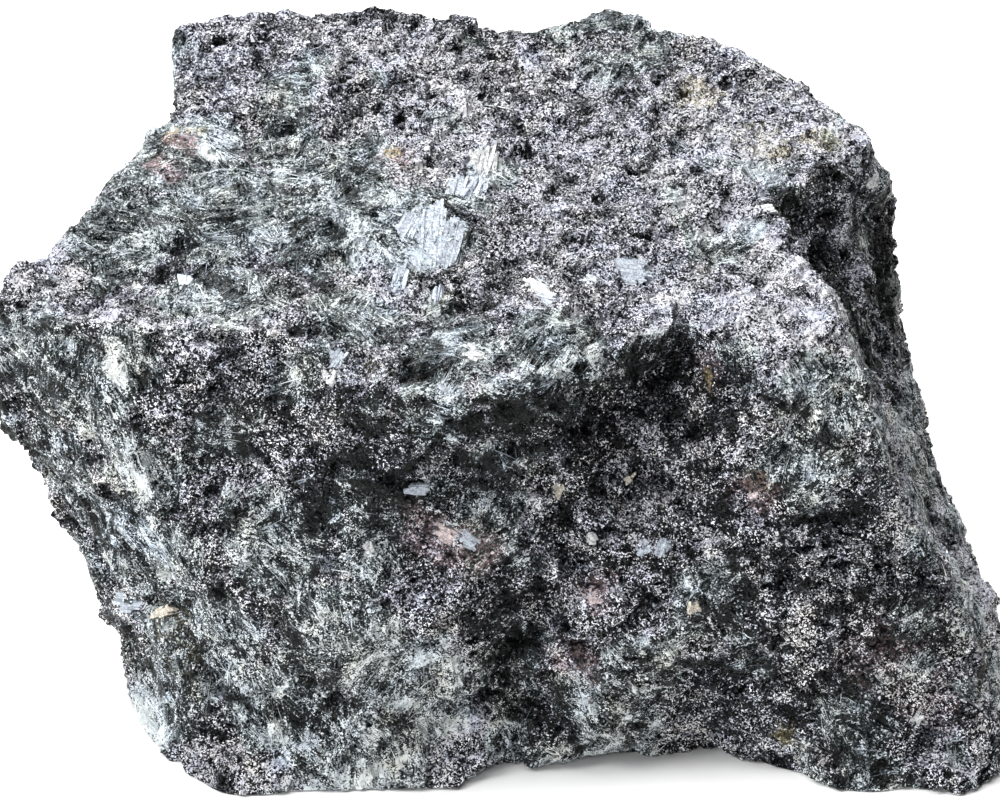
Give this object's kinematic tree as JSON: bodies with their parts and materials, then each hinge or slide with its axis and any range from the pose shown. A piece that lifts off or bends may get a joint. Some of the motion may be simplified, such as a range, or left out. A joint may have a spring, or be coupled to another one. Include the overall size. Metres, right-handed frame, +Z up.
{
  "type": "magnetite ore hand specimen",
  "caption": "Blocky broken stone of granular magnetite and fibrous amphibole, with a flat top, an overhanging front ledge and a hollow below it.",
  "frame": {"origin": "bottom centre of the bounding box, on the surface the stone rests on", "axes": "+Z up as the stone rests, +X along its longest side, -Y towards the broad broken front with the ledge"},
  "size_m": [0.1028, 0.0652, 0.0552],
  "materials": {
    "ore": "rough broken surface of fine dark metallic grains with pale grey-green fibres and flakes"
  },
  "bodies": {
    "root": {"magnetite_stone": "ore"}
  },
  "joints": []
}
